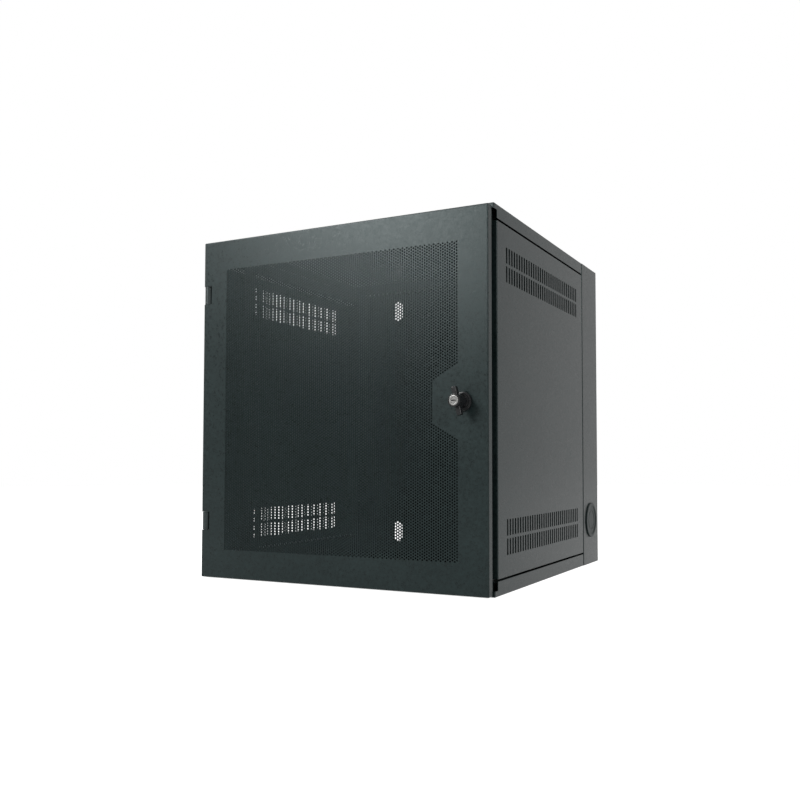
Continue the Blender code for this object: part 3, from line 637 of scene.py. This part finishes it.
def splitDoor(sheet):
    # the punched field is split into bands, each a piece of its own
    plan = doorPlan
    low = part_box("door_panel")[0]
    first, columnStep, pairs, rows = doorField(low)
    perBand = math.ceil(rows / plan["bands"])
    tileRadius = plan["pitch"] / math.sqrt(3)
    left = first.x - tileRadius
    right = first.x + (2 * pairs - 1) * columnStep + tileRadius
    pieces = [sheet]
    for band in range(plan["bands"]):
        bottom = first.z + (band * perBand - 0.5) * plan["pitch"]
        top = first.z + ((band + 1) * perBand - 0.5) * plan["pitch"]

        def ofBand(face):
            # tile faces are small: the border's filled faces reach out of the tile
            if face.calc_area() > plan["pitch"] ** 2 or len(face.verts) != 4:
                return False
            middle = face.calc_center_median()
            onFront = abs(middle.y - low.y) < 2 * plan["sheet"]
            return onFront and left < middle.x < right and bottom < middle.z < top

        openEdit(sheet, "FACE")
        chooseFaces(sheet, ofBand)
        bpy.ops.mesh.separate(type="SELECTED")
        closeEdit()
        piece = [item for item in bpy.context.selected_objects if item is not sheet][0]
        piece.name = "doorMesh" + str(band + 1)
        pieces.append(piece)
    return pieces


doorPieces = splitDoor(makeDoor())
for piece in doorPieces:
    standsFor(piece, "door_panel", cabinetCoat)
    print("door piece", piece.name, len(piece.data.polygons), "faces")


# Top cover and bottom pan

coverPlan = dict(sheet=1.5 * mm, bend=1.8 * mm, rim=0.25 * mm)


def makeCover(node, name, lip):
    plan = coverPlan
    piece = copyOfNode(node, name)
    outer = "z+" if lip == "down" else "z-"
    pairs = [(outer, "x+"), (outer, "x-"), (outer, "y+"), (outer, "y-"),
             ("x+", "y+"), ("x+", "y-"), ("x-", "y+"), ("x-", "y-")]
    roundBends(piece, node, pairs, plan["sheet"], plan["bend"])
    softEdges(piece, plan["rim"])
    return standsFor(piece, node, cabinetCoat)


makeCover("top_cover", "topCover", "down")
makeCover("bottom_pan", "bottomPan", "up")
print("covers made")


# Side panels with their vents

panelPlan = dict(sheet=1.5 * mm, bend=1.8 * mm, rim=0.25 * mm, slotWide=6.5 * mm, slotPitch=12.5 * mm,
                 slotTall=28 * mm, rowGap=5 * mm, endSpace=65 * mm, margin=40 * mm, cornerRound=1.2 * mm)


def makeSidePanel(side, inward):
    plan = panelPlan
    node = "side_panel_" + side
    low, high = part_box(node)
    piece = boxAt("sidePanel" + side.title(), low, high)
    openEdit(piece, "FACE")
    chooseFaces(piece, lambda face: face.normal.x * inward > facing)
    bpy.ops.mesh.delete(type="FACE")
    bpy.ops.mesh.select_mode(type="EDGE")
    chooseEdges(piece, lambda edge: len(edge.link_faces) == 2)
    bpy.ops.mesh.bevel(offset=plan["bend"], segments=bendSteps, affect="EDGES")
    closeEdit()
    applied(piece, "SOLIDIFY", thickness=plan["sheet"], offset=-1, use_even_offset=True)
    softEdges(piece, plan["rim"])
    cutAway(piece, ventCutters(low, high, inward))
    return standsFor(piece, node, cabinetCoat)


def ventCutters(low, high, inward):
    # one slot with eased corners, repeated along the panel and in four rows
    plan = panelPlan
    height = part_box("top_cover")[1].z
    run = high.y - low.y - 2 * plan["margin"] - plan["slotWide"]
    count = int(run / plan["slotPitch"]) + 1
    middle = (low.y + high.y) / 2
    first = middle - (count - 1) * plan["slotPitch"] / 2
    face = low.x if inward > 0 else high.x
    rowStep = plan["slotTall"] + plan["rowGap"]
    through = 4 * plan["sheet"]
    half = plan["slotWide"] / 2
    cutter = boxAt("slots", (face - through, first - half, plan["endSpace"]),
                   (face + through, first + half, plan["endSpace"] + plan["slotTall"]))
    openEdit(cutter, "EDGE")
    chooseEdges(cutter, lambda edge: abs(edge.verts[0].co.x - edge.verts[1].co.x) > plan["sheet"])
    bpy.ops.mesh.bevel(offset=plan["cornerRound"], segments=2, affect="EDGES")
    closeEdit()
    applied(cutter, "ARRAY", count=count, use_relative_offset=False, use_constant_offset=True,
            constant_offset_displace=(0, plan["slotPitch"], 0), use_merge_vertices=False)
    applied(cutter, "ARRAY", count=2, use_relative_offset=False, use_constant_offset=True,
            constant_offset_displace=(0, 0, rowStep), use_merge_vertices=False)
    upper = height - 2 * plan["endSpace"] - plan["slotTall"] - rowStep
    applied(cutter, "ARRAY", count=2, use_relative_offset=False, use_constant_offset=True,
            constant_offset_displace=(0, 0, upper), use_merge_vertices=False)
    return cutter


makeSidePanel("left", 1)
makeSidePanel("right", -1)
print("side panels made")


# Folded profiles: wall section, posts, rail supports and rails

foldPlan = dict(sheet=2.0 * mm, bend=2.3 * mm, rim=0.3 * mm)
folds = dict(
    wall_side_left=[("x-", "y-")], wall_side_right=[("x+", "y-")],
    wall_top_panel=[("z+", "y-")], wall_bottom_panel=[("z-", "y-")],
    front_post_left=[("x-", "y-")], front_post_right=[("x+", "y-")],
    rear_post_left=[("x-", "y+")], rear_post_right=[("x+", "y+")],
    rail_support_left_upper=[("x+", "z+"), ("x+", "z-")],
    rail_support_left_lower=[("x+", "z+"), ("x+", "z-")],
    rail_support_right_upper=[("x-", "z+"), ("x-", "z-")],
    rail_support_right_lower=[("x-", "z+"), ("x-", "z-")],
    rack_rail_left=[("x-", "y-")], rack_rail_right=[("x+", "y-")], wall_back_panel=[])


def plainName(node):
    first, *rest = node.split("_")
    return first + "".join(word.title() for word in rest)


postPlan = dict(webReach=70 * mm, flangeReach=30 * mm, latchSpace=0.5 * mm)


def pulledOut(piece, side, reach):
    # end face of a web or flange, moved outwards
    index = "xyz".index(side[0])
    sign = 1 if side[1] == "+" else -1
    edge = max(sign * point.co[index] for point in piece.data.vertices)
    move = [0, 0, 0]
    move[index] = sign * reach
    openEdit(piece, "FACE")
    chooseFaces(piece, lambda face: all(sign * point.co[index] > edge - 5 * hair for point in face.verts))
    bpy.ops.transform.translate(value=move)
    closeEdit()
    return piece


def latchOpening(plan):
    low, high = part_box("swing_latch_case")
    space = Vector((plan["latchSpace"],) * 3)
    return boxAt("latchOpening", low - space, high + space)


for node, pairs in folds.items():
    piece = copyOfNode(node, plainName(node))
    if node.startswith("front_post"):
        pulledOut(piece, "y+", postPlan["webReach"])
    if node == "rear_post_right":
        pulledOut(piece, "x-", postPlan["flangeReach"])
        cutAway(piece, latchOpening(postPlan))
    if pairs:
        roundBends(piece, node, pairs, foldPlan["sheet"], foldPlan["bend"])
    if not node.startswith("rack_rail"):
        softEdges(piece, foldPlan["rim"])
    standsFor(piece, node, slotFinish[slotOf[node]])
print("folded profiles made:", len(folds))


# Hinges, latch and small fittings: the solids with eased edges

easedPlan = dict(
    swing_hinge_wall_leaf_upper=0.5, swing_hinge_wall_leaf_lower=0.5, swing_hinge_cabinet_leaf_upper=0.5,
    swing_hinge_cabinet_leaf_lower=0.5, swing_hinge_pin_upper=0.4, swing_hinge_pin_lower=0.4,
    door_hinge_block_upper=0.6, door_hinge_block_lower=0.6, door_hinge_bracket_upper=0.3,
    door_hinge_bracket_lower=0.3, door_hinge_pin_upper=0.3, door_hinge_pin_lower=0.3,
    lock_nut=0.4, latch_cam=0.4, cam_nut=0.4, swing_latch_case=0.8, swing_latch_bolt=0.8,
    door_bumper_upper=0.8, door_bumper_lower=0.8)
for node, width in easedPlan.items():
    piece = copyOfNode(node, plainName(node))
    softEdges(piece, width * mm)
    standsFor(piece, node, slotFinish[slotOf[node]])
print("fittings made:", len(easedPlan))


# Cable plugs

plugPlan = dict(hole=35 * mm, rim=3 * mm, rimHigh=2.8 * mm, faceHigh=1.2 * mm, wall=3 * mm, skirt=8 * mm,
                ringAt=20 * mm, ringWide=1.2 * mm, ringFoot=0.72 * mm, ringDeep=0.7 * mm, fit=0.3 * mm,
                plate=2 * mm, dish=2 * mm, foot=0.6 * mm, soft=0.4 * mm, crest=1.2 * mm, corner=0.35 * mm,
                sides=72)


def makePlug(side, outward):
    plan = plugPlan
    node = "cable_plug_" + side
    low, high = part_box(node)
    wallLow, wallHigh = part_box("wall_side_" + side)
    seat = wallHigh.x if outward > 0 else wallLow.x
    centre = (seat, (low.y + high.y) / 2, (low.z + high.z) / 2)
    outer = plan["hole"] + plan["rim"]
    inner = plan["hole"] - plan["fit"] - plan["wall"]
    barrel = plan["hole"] - plan["fit"]
    rise = plan["rimHigh"]
    face = plan["faceHigh"]
    ring, ringFoot = plan["ringAt"], plan["ringFoot"]
    groove = face - plan["ringDeep"]
    back = face - plan["plate"]
    soft, crest, corner = plan["soft"], plan["crest"], plan["corner"]
    profile = [(0, face), (ring - plan["ringWide"], face), (ring - ringFoot, groove),
               (ring + ringFoot, groove), (ring + plan["ringWide"], face), (inner - plan["dish"], face),
               (inner - plan["foot"], face + soft), (inner + soft, rise - soft), (inner + crest, rise),
               (outer - crest, rise), (outer - corner, rise - corner), (outer, rise - crest),
               (outer, plan["fit"]), (barrel, plan["fit"]), (barrel, -plan["skirt"]),
               (inner, -plan["skirt"]), (inner, back), (0, back)]
    piece = spun("cablePlug" + side.title(), profile, centre, (outward, 0, 0), plan["sides"])
    return standsFor(piece, node, plugPlastic)


makePlug("left", -1)
makePlug("right", 1)
print("cable plugs made")


# Rail bolts and earth stud

boltPlan = dict(shank=3 * mm, head=6 * mm, headHigh=4 * mm, crown=1.3 * mm, slot=1.2 * mm, slotLong=7 * mm,
                slotDeep=1.6 * mm, sheet=2 * mm, fit=0.3 * mm, rise=0.1 * mm, ease=0.5 * mm, sides=36,
                flat=0.5, shoulder=0.85, shoulderHigh=0.45, nut=0.98)       # shares of head and crown


def crossSlot(centre, axisIndex, depth, plan):
    # two crossed bars that cut the driver's recess
    bars = []
    for longWay in ("first", "second"):
        half = [plan["slot"] / 2, plan["slot"] / 2]
        half[0 if longWay == "first" else 1] = plan["slotLong"] / 2
        half.insert(axisIndex, depth)
        bars.append(boxAt("bar", Vector(centre) - Vector(half), Vector(centre) + Vector(half)))
    return weldOn(*bars)


def makeRailBolt(node, outward):
    plan = boltPlan
    low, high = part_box(node)
    y, z = (low.y + high.y) / 2, (low.z + high.z) / 2
    inner = low.x if outward > 0 else high.x                 # face of the head, inside the rail
    grip = 2 * plan["sheet"] + 3 * plan["fit"]
    top = plan["headHigh"]
    head, shank, crown = plan["head"], plan["shank"], plan["crown"]
    nut = plan["nut"] * head
    shoulder = plan["shoulder"] * head
    back = 2 * top + grip
    profile = [(0, 0), (plan["flat"] * head, plan["rise"]), (shoulder, plan["shoulderHigh"] * crown),
               (head, crown), (head, top), (shank, top), (shank, top + grip), (nut, top + grip),
               (nut, back - plan["ease"]), (shoulder, back), (0, back)]
    piece = spun(plainName(node), profile, (inner, y, z), (outward, 0, 0), plan["sides"])
    cutAway(piece, crossSlot((inner, y, z), 0, plan["slotDeep"], plan))
    return standsFor(piece, node, zincPlate)


for side, outward in (("left", -1), ("right", 1)):
    for end in ("upper", "lower"):
        makeRailBolt("rail_bolt_" + side + "_" + end, outward)

studPlan = dict(radius=3 * mm, collar=6 * mm, collarLong=4 * mm, pitch=1.0 * mm, depth=0.35 * mm,
                ease=0.5 * mm, point=0.6 * mm, crest=0.25, root=0.75, sides=36)


def makeStud():
    plan = studPlan
    low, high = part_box("ground_stud")
    centre = ((low.x + high.x) / 2, high.y, (low.z + high.z) / 2)
    length = high.y - low.y
    profile = [(0, 0), (plan["collar"], 0), (plan["collar"], plan["collarLong"] - plan["ease"]),
               (plan["collar"] - plan["ease"], plan["collarLong"]), (plan["radius"], plan["collarLong"])]
    turns = int((length - plan["collarLong"] - plan["pitch"]) / plan["pitch"])
    for turn in range(turns):
        start = plan["collarLong"] + turn * plan["pitch"]
        profile.append((plan["radius"], start + plan["crest"] * plan["pitch"]))
        profile.append((plan["radius"] - plan["depth"], start + plan["root"] * plan["pitch"]))
    profile.append((plan["radius"], length - plan["pitch"]))
    profile += [(plan["radius"] - plan["point"], length), (0, length)]
    stud = spun("groundStud", profile, centre, (0, -1, 0), plan["sides"])
    return standsFor(stud, "ground_stud", zincPlate)


makeStud()
print("bolts and stud made")


# Lock: stepped base, wing knob and key core

lockPlan = dict(base=16.5 * mm, baseHigh=4 * mm, collar=13.5 * mm, collarHigh=10 * mm, barrel=9.5 * mm,
                barrelLong=12 * mm, bore=5.3 * mm, boss=11 * mm, knobHigh=37 * mm, bossBack=10.3 * mm,
                shaft=5 * mm, coreRadius=8.5 * mm, coreSeat=14 * mm, coreProud=0.5 * mm,
                wingLong=49 * mm, wingWide=10 * mm, wingBack=17 * mm, wingFront=31 * mm,
                wingTip=(0.86, 0.72), wingTipBack=5 * mm, wingLean=13, wingRound=1.8 * mm,
                keyWide=2.0 * mm, keyTall=9 * mm, keyDeep=6 * mm, keyEase=0.3 * mm,
                collarRound=1.6 * mm, baseRound=1.5 * mm, soft=0.4 * mm, shoulder=1.4 * mm,
                filletHigh=0.8 * mm, filletWide=0.6 * mm, threadStart=2 * mm, threadPitch=1 * mm,
                threadRise=0.5 * mm, threadDeep=0.4 * mm, faceSunk=0.8 * mm, rimFoot=1.8 * mm,
                rimIn=1.6 * mm, rimOut=0.9 * mm, rimCorner=(0.25 * mm, 0.3 * mm), bossEase=1 * mm,
                shaftEase=0.6 * mm, coreDish=0.7 * mm, coreStep=0.1 * mm, coreCorner=0.15 * mm,
                coreRing=(0.62, 0.68, 0.72), fit=0.3 * mm, over=2 * mm, sides=64)


def makeLockBase():
    plan = lockPlan
    base, collar, bore, barrel = plan["base"], plan["collar"], plan["bore"], plan["barrel"]
    top, step, end = plan["collarHigh"], plan["baseHigh"], -plan["barrelLong"]
    soft, shoulder = plan["soft"], plan["shoulder"]
    threadFoot = barrel - plan["threadDeep"]
    profile = [(bore, top), (collar - plan["collarRound"], top), (collar - soft, top - soft),
               (collar, top - shoulder), (collar, step + plan["filletHigh"]),
               (collar + plan["filletWide"], step), (base - plan["baseRound"], step),
               (base - soft, step - soft), (base, step - shoulder), (base, plan["fit"]),
               (barrel, plan["fit"])]
    turns = int((plan["barrelLong"] - plan["threadStart"]) / plan["threadPitch"])
    for turn in range(turns):
        start = -plan["threadStart"] - turn * plan["threadPitch"]
        profile += [(barrel, start), (threadFoot, start - plan["threadRise"])]
    profile += [(threadFoot, end), (bore, end), (bore, top)]
    piece = spun("lockBase", profile, lockAxis(), (0, -1, 0), plan["sides"])
    return standsFor(piece, "lock_housing", lockBlack)


def makeWingKnob():
    plan = lockPlan
    axis = lockAxis()
    shaftEnd = axis.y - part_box("wing_knob")[1].y
    boss, back, top, shaft = plan["boss"], plan["bossBack"], plan["knobHigh"], plan["shaft"]
    sunk = top - plan["faceSunk"]
    cornerIn, cornerDown = plan["rimCorner"]
    bossEase, shaftEase = plan["bossEase"], plan["shaftEase"]
    profile = [(0, sunk), (boss - plan["rimFoot"], sunk), (boss - plan["rimIn"], top),
               (boss - plan["rimOut"], top), (boss - cornerIn, top - cornerDown), (boss, top - bossEase),
               (boss, back + bossEase), (boss - bossEase, back), (shaft, back),
               (shaft, shaftEnd + shaftEase), (shaft - shaftEase, shaftEnd), (0, shaftEnd)]
    knob = spun("wingKnob", profile, axis, (0, -1, 0), plan["sides"])
    half = Vector((plan["wingWide"] / 2, 0, plan["wingLong"] / 2))
    wingFront = Vector((0, plan["wingFront"], 0))
    wingBack = Vector((0, plan["wingBack"], 0))
    wing = boxAt("wings", axis - half - wingFront, axis + half - wingBack)
    openEdit(wing, "FACE")
    for end in (1, -1):
        bpy.ops.mesh.select_all(action="DESELECT")
        chooseFaces(wing, lambda face: face.normal.z * end > facing)
        tip = (axis.x, axis.y - plan["wingBack"] - plan["wingTipBack"], axis.z + end * half.z)
        bpy.ops.transform.resize(value=(plan["wingTip"][0], plan["wingTip"][1], 1), center_override=tip)
    bpy.ops.mesh.select_mode(type="EDGE")
    bpy.ops.mesh.select_all(action="SELECT")
    bpy.ops.mesh.bevel(offset=plan["wingRound"], segments=bendSteps, affect="EDGES")
    closeEdit()
    lean = Matrix.Rotation(-math.radians(plan["wingLean"]), 4, "Y")
    wing.matrix_world = Matrix.Translation(axis) @ lean @ Matrix.Translation(-axis)
    settle(wing)
    weldOn(knob, wing)
    seatWide = plan["coreRadius"] + plan["fit"]
    seatBack = plan["coreSeat"] - plan["fit"]
    seatTop = top + plan["over"]
    seatProfile = [(0, seatBack), (seatWide, seatBack), (seatWide, seatTop), (0, seatTop)]
    cutAway(knob, spun("seat", seatProfile, axis, (0, -1, 0), plan["sides"]))
    return standsFor(knob, "wing_knob", lockBlack)


def makeLockCore():
    plan = lockPlan
    axis = lockAxis()
    radius = plan["coreRadius"]
    face = plan["knobHigh"] + plan["coreProud"]
    dish, corner = plan["coreDish"], plan["coreCorner"]
    ringFoot, ringStep, ringTop = [radius * share for share in plan["coreRing"]]
    profile = [(0, face - dish), (ringFoot, face - dish), (ringStep, face - plan["coreStep"]),
               (ringTop, face), (radius - dish, face), (radius - corner, face - corner),
               (radius, face - dish), (radius, plan["coreSeat"]), (0, plan["coreSeat"])]
    core = spun("lockCore", profile, axis, (0, -1, 0), plan["sides"])
    half = Vector((plan["keyTall"] / 2, plan["keyDeep"], plan["keyWide"] / 2))
    front = axis - Vector((0, face, 0))
    keyway = boxAt("keyway", front - half, front + half)
    softEdges(keyway, plan["keyEase"])
    cutAway(core, keyway)
    return standsFor(core, "lock_core", lockNickel)


makeLockBase()
makeWingKnob()
makeLockCore()
print("lock made")


# Rivets on the swing hinges, screws on the brackets and the latch

domePlan = dict(steps=5, sides=24, foot=0.25)                   # foot as a share of the height
rivetPlan = dict(radius=3.2 * mm, high=1.5 * mm, inset=8 * mm, spread=0.25, leafProud=2.8 * mm)
screwPlan = dict(radius=3.6 * mm, high=2.0 * mm, slot=0.9 * mm, slotLong=4.2 * mm, slotDeep=1.1 * mm,
                 bracketInset=9 * mm, bracketPlate=2 * mm, bracketFit=0.3 * mm, bracketSpread=0.28,
                 latchInset=12 * mm, latchSpread=0.3)


def domeHead(name, centre, axis, radius, high):
    plan = domePlan
    foot = plan["foot"]
    profile = [(0, high)]
    for step in range(1, plan["steps"] + 1):
        angle = math.pi / 2 * step / plan["steps"]
        profile.append((radius * math.sin(angle), high * (foot + (1 - foot) * math.cos(angle))))
    profile += [(radius, 0), (0, 0)]
    return spun(name, profile, centre, axis, plan["sides"])


def swingRivets(owner, body, away):
    plan = rivetPlan
    heads = []
    for end in ("upper", "lower"):
        low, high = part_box("swing_hinge_" + owner + "_leaf_" + end)
        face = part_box("wall_side_left")[0].x - plan["leafProud"]    # outer face of the leaf
        far = high.y if away > 0 else low.y
        for shift in (-plan["spread"], plan["spread"]):
            place = (face, far - away * plan["inset"], (low.z + high.z) / 2 + shift * (high.z - low.z))
            name = "rivets" + owner.title()
            heads.append(domeHead(name, place, (-1, 0, 0), plan["radius"], plan["high"]))
    return addedTo(joined(*heads), body, hingeCoat)


def screwHead(name, centre, axis, plan):
    head = domeHead(name, centre, axis, plan["radius"], plan["high"])
    top = Vector(centre) + Vector(axis) * plan["high"]
    index = max(range(3), key=lambda item: abs(axis[item]))
    return cutAway(head, crossSlot(top, index, plan["slotDeep"], plan))


def bracketScrews():
    plan = screwPlan
    heads = []
    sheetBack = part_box("door_panel")[0].y + doorPlan["sheet"]
    plate = sheetBack + plan["bracketFit"] + plan["bracketPlate"]    # inner face of the plate
    for end in ("upper", "lower"):
        low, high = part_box("door_hinge_bracket_" + end)
        for shift in (-plan["bracketSpread"], plan["bracketSpread"]):
            place = (high.x - plan["bracketInset"], plate, (low.z + high.z) / 2 + shift * (high.z - low.z))
            heads.append(screwHead("bracketScrews", place, (0, 1, 0), plan))
    return addedTo(joined(*heads), "door", zincPlate)


def latchScrews():
    plan = screwPlan
    low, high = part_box("swing_latch_case")
    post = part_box("rear_post_right")[0].x
    heads = []
    for shift in (-plan["latchSpread"], plan["latchSpread"]):
        place = (post + plan["latchInset"], low.y, (low.z + high.z) / 2 + shift * (high.z - low.z))
        heads.append(screwHead("latchScrews", place, (0, -1, 0), plan))
    return addedTo(joined(*heads), "cabinet", zincPlate)


swingRivets("wall", "wall_section", 1)
swingRivets("cabinet", "cabinet", -1)
bracketScrews()
latchScrews()
print("rivets and screws made")


# Floor, light and camera

stagePlan = dict(floorSize=14.0, floorSides=96, floorColour=(0.55, 0.55, 0.55), floorGlow=0.85,
                 floorRoughness=0.9, floorShine=0.1, ambient=0.4, aim=(0, 0, 0.33),
                 keyPlace=(-1.45, -3.0, 1.75), keySize=1.15, keyPower=100.0,
                 sidePlace=(2.85, -1.86, 1.4), sideSize=0.7, sidePower=60.0,
                 shadePlace=(-2.15, -2.5, 2.7), shadeSize=0.5, shadePower=60.0,
                 topPlace=(0.3, 0.4, 3.2), topSize=2.0, topPower=20.0)


def backdropRays(tree):
    # what the camera, gloss and glass look at
    rays = tree.nodes.new("ShaderNodeLightPath")
    both = mathNode(tree, "MAXIMUM", rays.outputs["Is Camera Ray"], rays.outputs["Is Glossy Ray"])
    return mathNode(tree, "MAXIMUM", both, rays.outputs["Is Transmission Ray"])


def makeFloor():
    plan = stagePlan
    bpy.ops.object.select_all(action="DESELECT")
    bpy.ops.mesh.primitive_circle_add(vertices=plan["floorSides"], radius=plan["floorSize"] / 2,
                                      fill_type="NGON", location=(0, 0, 0))
    floor = bpy.context.object
    floor.name = "studioFloor"
    material, tree, shader = newMaterial("floorPaper")
    shader.inputs["Base Color"].default_value = (*plan["floorColour"], 1)
    shader.inputs["Roughness"].default_value = plan["floorRoughness"]
    shader.inputs["Specular IOR Level"].default_value = plan["floorShine"]
    shader.inputs["Emission Color"].default_value = (1, 1, 1, 1)
    glow = mathNode(tree, "MULTIPLY", backdropRays(tree), plan["floorGlow"])
    tree.links.new(glow, shader.inputs["Emission Strength"])
    floor.data.materials.append(material)


def makeWorld():
    world = bpy.data.worlds.new("studioWorld")
    bpy.context.scene.world = world
    world.use_nodes = True
    tree = world.node_tree
    tree.nodes.clear()
    ambient = tree.nodes.new("ShaderNodeBackground")
    ambient.inputs["Strength"].default_value = stagePlan["ambient"]
    paper = tree.nodes.new("ShaderNodeBackground")
    for shader in (ambient, paper):
        shader.inputs["Color"].default_value = (1, 1, 1, 1)
    mix = tree.nodes.new("ShaderNodeMixShader")
    tree.links.new(backdropRays(tree), mix.inputs["Fac"])
    tree.links.new(ambient.outputs[0], mix.inputs[1])
    tree.links.new(paper.outputs[0], mix.inputs[2])
    result = tree.nodes.new("ShaderNodeOutputWorld")
    tree.links.new(mix.outputs[0], result.inputs["Surface"])


def makeLamp(name, place, size, power):
    lamp = bpy.data.lights.new(name, "AREA")
    lamp.shape = "SQUARE"
    lamp.size = size
    lamp.energy = power
    holder = bpy.data.objects.new(name, lamp)
    bpy.context.scene.collection.objects.link(holder)
    holder.location = place
    sight = Vector(stagePlan["aim"]) - Vector(place)
    holder.rotation_euler = sight.to_track_quat("-Z", "Y").to_euler()


cameraPlan = dict(place=(0.8530, -1.6280, 0.2223), tilt=92.52, turn=26.597, lens=38.976, sensor=36.0,
                  shift=(-0.0386, 0.0308), clip=0.05)


def makeCamera():
    plan = cameraPlan
    camera = bpy.data.cameras.new("photoCamera")
    camera.lens = plan["lens"]
    camera.sensor_width = plan["sensor"]
    camera.shift_x, camera.shift_y = plan["shift"]
    camera.clip_start = plan["clip"]
    holder = bpy.data.objects.new("photoCamera", camera)
    bpy.context.scene.collection.objects.link(holder)
    holder.location = plan["place"]
    holder.rotation_euler = (math.radians(plan["tilt"]), 0, math.radians(plan["turn"]))
    bpy.context.scene.camera = holder


makeFloor()
makeWorld()
for lampName in ("key", "side", "shade", "top"):
    place, size, power = [stagePlan[lampName + setting] for setting in ("Place", "Size", "Power")]
    makeLamp(lampName + "Lamp", place, size, power)
makeCamera()
bpy.context.scene.view_settings.view_transform = "Standard"
print("stage made")
